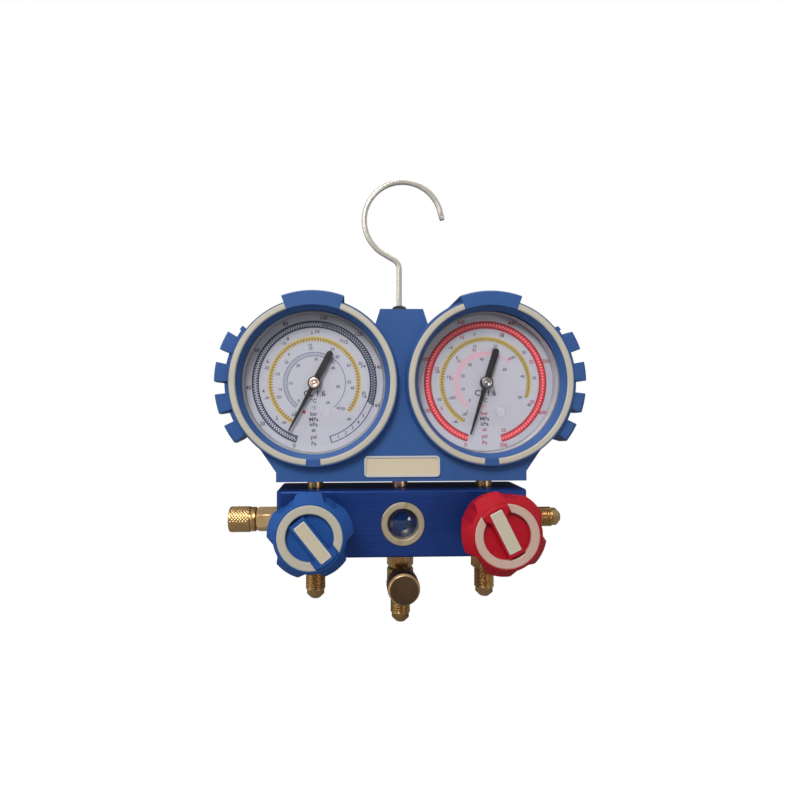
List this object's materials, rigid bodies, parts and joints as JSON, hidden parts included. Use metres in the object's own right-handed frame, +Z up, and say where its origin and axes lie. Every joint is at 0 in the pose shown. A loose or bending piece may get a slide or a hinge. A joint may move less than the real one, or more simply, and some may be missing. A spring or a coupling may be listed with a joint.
{
  "type": "refrigerant manifold gauge",
  "caption": "Hanging refrigerant manifold with low and high pressure gauges in a moulded casing, hand-wheel valves, sight glass and flare hose ports.",
  "frame": {"origin": "centre of the manifold block's back face", "axes": "+X towards the high pressure side, +Y out of the back, +Z up along the hook"},
  "size_m": [0.2066, 0.0624, 0.2507],
  "materials": {
    "anodised_block": "blue anodised, brushed lengthwise",
    "casing_plastic": "satin moulded",
    "cream_plastic": "matte",
    "blue_wheel": "satin moulded",
    "red_wheel": "satin moulded",
    "brass": "machined",
    "steel": "plated",
    "hook_steel": "bright nickel",
    "black_plastic": "matte",
    "black_rubber": "matte",
    "dial_plate": "matt white print",
    "clear_plastic": "polished clear",
    "sight_glass": "polished"
  },
  "bodies": {
    "manifold": {"manifold_block": "anodised_block", "front_casing": "casing_plastic", "rear_casing": "casing_plastic", "casing_screws": "steel", "name_plate": "cream_plastic", "low_glow_ring": "cream_plastic", "high_glow_ring": "cream_plastic", "casing_bolt": "steel", "casing_spacer": "steel", "sight_glass_bezel": "brass", "sight_glass_lens": "sight_glass", "sight_glass_seal": "black_rubber", "charging_tee": "brass", "valve_core_body": "brass", "side_port_fitting": "brass", "side_adapter": "brass", "window_plugs": "clear_plastic", "hook_collar": "black_plastic", "low_bonnet": "brass", "low_port_fitting": "brass", "low_case": "black_plastic", "low_window": "clear_plastic", "low_dial": "dial_plate", "low_socket": "brass", "low_bourdon_tube": "brass", "low_movement_frame": "brass", "high_bonnet": "brass", "high_port_fitting": "brass", "high_case": "black_plastic", "high_window": "clear_plastic", "high_dial": "dial_plate", "high_socket": "brass", "high_bourdon_tube": "brass", "high_movement_frame": "brass"},
    "hook": {"hook": "hook_steel", "hook_nut": "steel"},
    "swivel_nut": {"swivel_nut": "brass"},
    "cap_gasket": {"port_cap_gasket": "black_rubber"},
    "port_cap": {"port_cap": "brass"},
    "valve_core_pin": {"valve_core_pin": "steel"},
    "low_sector": {"low_sector_gear": "brass"},
    "low_link": {"low_link": "steel"},
    "low_pointer_shaft": {"low_pinion": "steel", "low_pointer": "black_plastic"},
    "low_valve_piston": {"low_piston": "brass"},
    "low_handwheel": {"low_handwheel": "blue_wheel", "low_handwheel_ring": "cream_plastic", "low_handwheel_bar": "cream_plastic", "low_handwheel_screw": "steel", "low_stem": "steel"},
    "high_sector": {"high_sector_gear": "brass"},
    "high_link": {"high_link": "steel"},
    "high_pointer_shaft": {"high_pinion": "steel", "high_pointer": "black_plastic"},
    "high_valve_piston": {"high_piston": "brass"},
    "high_handwheel": {"high_handwheel": "red_wheel", "high_handwheel_ring": "cream_plastic", "high_handwheel_bar": "cream_plastic", "high_handwheel_screw": "steel", "high_stem": "steel"}
  },
  "joints": [
    {"name": "hook_swivel", "type": "hinge", "parent": "manifold", "child": "hook", "pos_m": [0, -0.016, 0.1165], "axis": [0, 0, 1], "continuous": true},
    {"name": "hose_nut_spin", "type": "hinge", "parent": "manifold", "child": "swivel_nut", "pos_m": [-0.0885, -0.016, 0], "axis": [-1, 0, 0], "continuous": true},
    {"name": "cap_lift", "type": "slide", "parent": "manifold", "child": "cap_gasket", "axis": [0, -1, 0], "range_m": [0, 0.01017]},
    {"name": "cap_turn", "type": "hinge", "parent": "cap_gasket", "child": "port_cap", "pos_m": [0, -0.032, -0.0335], "axis": [0, -1, 0], "range_deg": [0, 2880]},
    {"name": "core_pin_press", "type": "slide", "parent": "manifold", "child": "valve_core_pin", "axis": [0, 1, 0], "range_m": [0, 0.0012], "stiffness_N_per_m": 100},
    {"name": "low_sector_swing", "type": "hinge", "parent": "manifold", "child": "low_sector", "pos_m": [-0.048, -0.0125, 0.057], "axis": [0, -1, 0], "range_deg": [-0.93, 26.23], "stiffness_Nm_per_rad": 0.1},
    {"name": "low_pointer_turn", "type": "hinge", "parent": "manifold", "child": "low_pointer_shaft", "pos_m": [-0.048, -0.0125, 0.0765], "axis": [0, -1, 0], "range_deg": [-315.06, 11.46]},
    {"name": "low_link_pivot", "type": "hinge", "parent": "low_sector", "child": "low_link", "pos_m": [-0.045, -0.0125, 0.0518], "axis": [0, -1, 0], "range_deg": [-26.43, 1.13]},
    {"name": "low_valve_lift", "type": "slide", "parent": "manifold", "child": "low_valve_piston", "axis": [0, -1, 0], "range_m": [0, 0.00376]},
    {"name": "low_handwheel_turn", "type": "hinge", "parent": "low_valve_piston", "child": "low_handwheel", "pos_m": [-0.048, -0.05, 0], "axis": [0, -1, 0], "range_deg": [0, 1080]},
    {"name": "high_sector_swing", "type": "hinge", "parent": "manifold", "child": "high_sector", "pos_m": [0.048, -0.0125, 0.057], "axis": [0, -1, 0], "range_deg": [0, 27.1], "stiffness_Nm_per_rad": 0.1},
    {"name": "high_pointer_turn", "type": "hinge", "parent": "manifold", "child": "high_pointer_shaft", "pos_m": [0.048, -0.0125, 0.0765], "axis": [0, -1, 0], "range_deg": [-325.5, 0.3]},
    {"name": "high_link_pivot", "type": "hinge", "parent": "high_sector", "child": "high_link", "pos_m": [0.051, -0.0125, 0.0518], "axis": [0, -1, 0], "range_deg": [-27.3, 0.2]},
    {"name": "high_valve_lift", "type": "slide", "parent": "manifold", "child": "high_valve_piston", "axis": [0, -1, 0], "range_m": [0, 0.00376]},
    {"name": "high_handwheel_turn", "type": "hinge", "parent": "high_valve_piston", "child": "high_handwheel", "pos_m": [0.048, -0.05, 0], "axis": [0, -1, 0], "range_deg": [0, 1080]}
  ],
  "couplings": [
    {"joint": "cap_lift", "follows": "cap_turn", "m_per_rad": 0.00020213},
    {"joint": "low_pointer_turn", "follows": "low_sector_swing", "ratio": -12},
    {"joint": "low_link_pivot", "follows": "low_sector_swing", "ratio": -1},
    {"joint": "low_valve_lift", "follows": "low_handwheel_turn", "m_per_rad": 0.00019894},
    {"joint": "high_pointer_turn", "follows": "high_sector_swing", "ratio": -12},
    {"joint": "high_link_pivot", "follows": "high_sector_swing", "ratio": -1},
    {"joint": "high_valve_lift", "follows": "high_handwheel_turn", "m_per_rad": 0.00019894}
  ]
}
